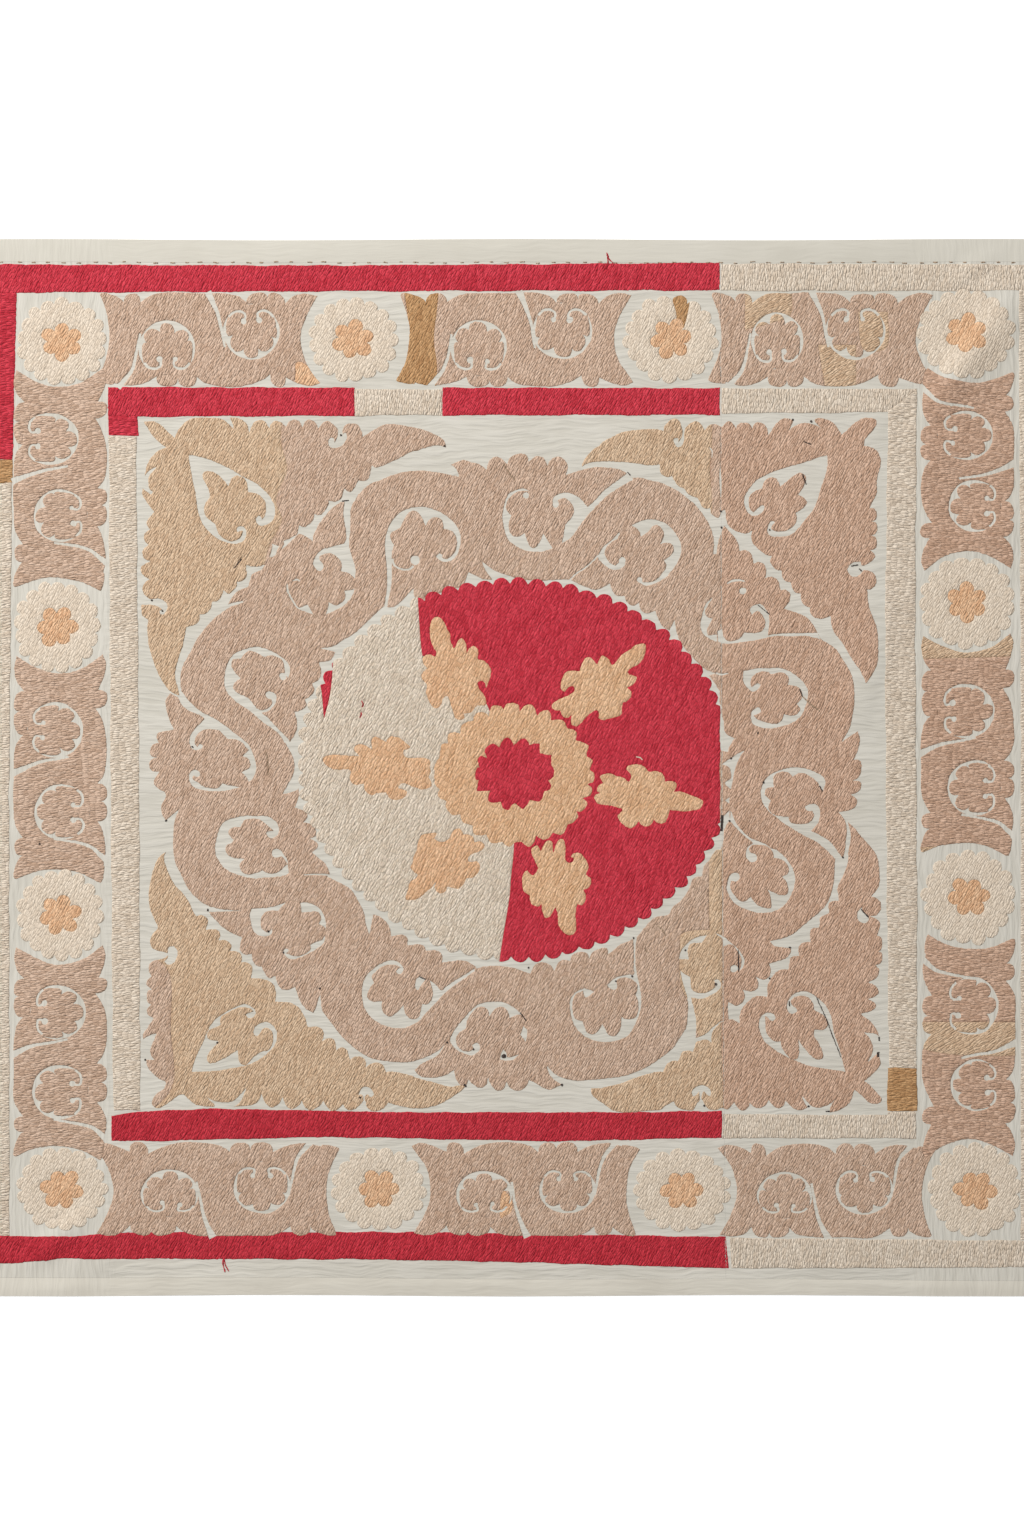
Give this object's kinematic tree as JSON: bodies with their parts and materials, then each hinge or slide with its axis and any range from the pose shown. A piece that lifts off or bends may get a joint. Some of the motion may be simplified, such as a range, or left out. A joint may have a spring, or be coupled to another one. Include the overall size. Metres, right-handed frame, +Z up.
{
  "type": "suzani embroidered textile",
  "caption": "Large flat embroidered hanging: two joined cotton panels with a plain heading strip and foot strip, lying open and face up.",
  "frame": {"origin": "on the surface that the cloth lies on, under the middle of the cloth", "axes": "+X along the longer side, +Y towards the heading strip, +Z up out of the embroidered face"},
  "size_m": [2.102, 2, 0.0068],
  "materials": {
    "embroidered_panel": "off-white cotton almost covered by slanting couched stitches in faded silk and cotton, dull",
    "heading_cotton": "plain off-white cotton weave, dull",
    "foot_cotton": "plain greyish off-white cotton weave with flat folds, dull"
  },
  "bodies": {
    "root": {"panel_left": "embroidered_panel", "panel_right": "embroidered_panel", "heading_strip": "heading_cotton", "foot_strip": "foot_cotton"}
  },
  "joints": []
}
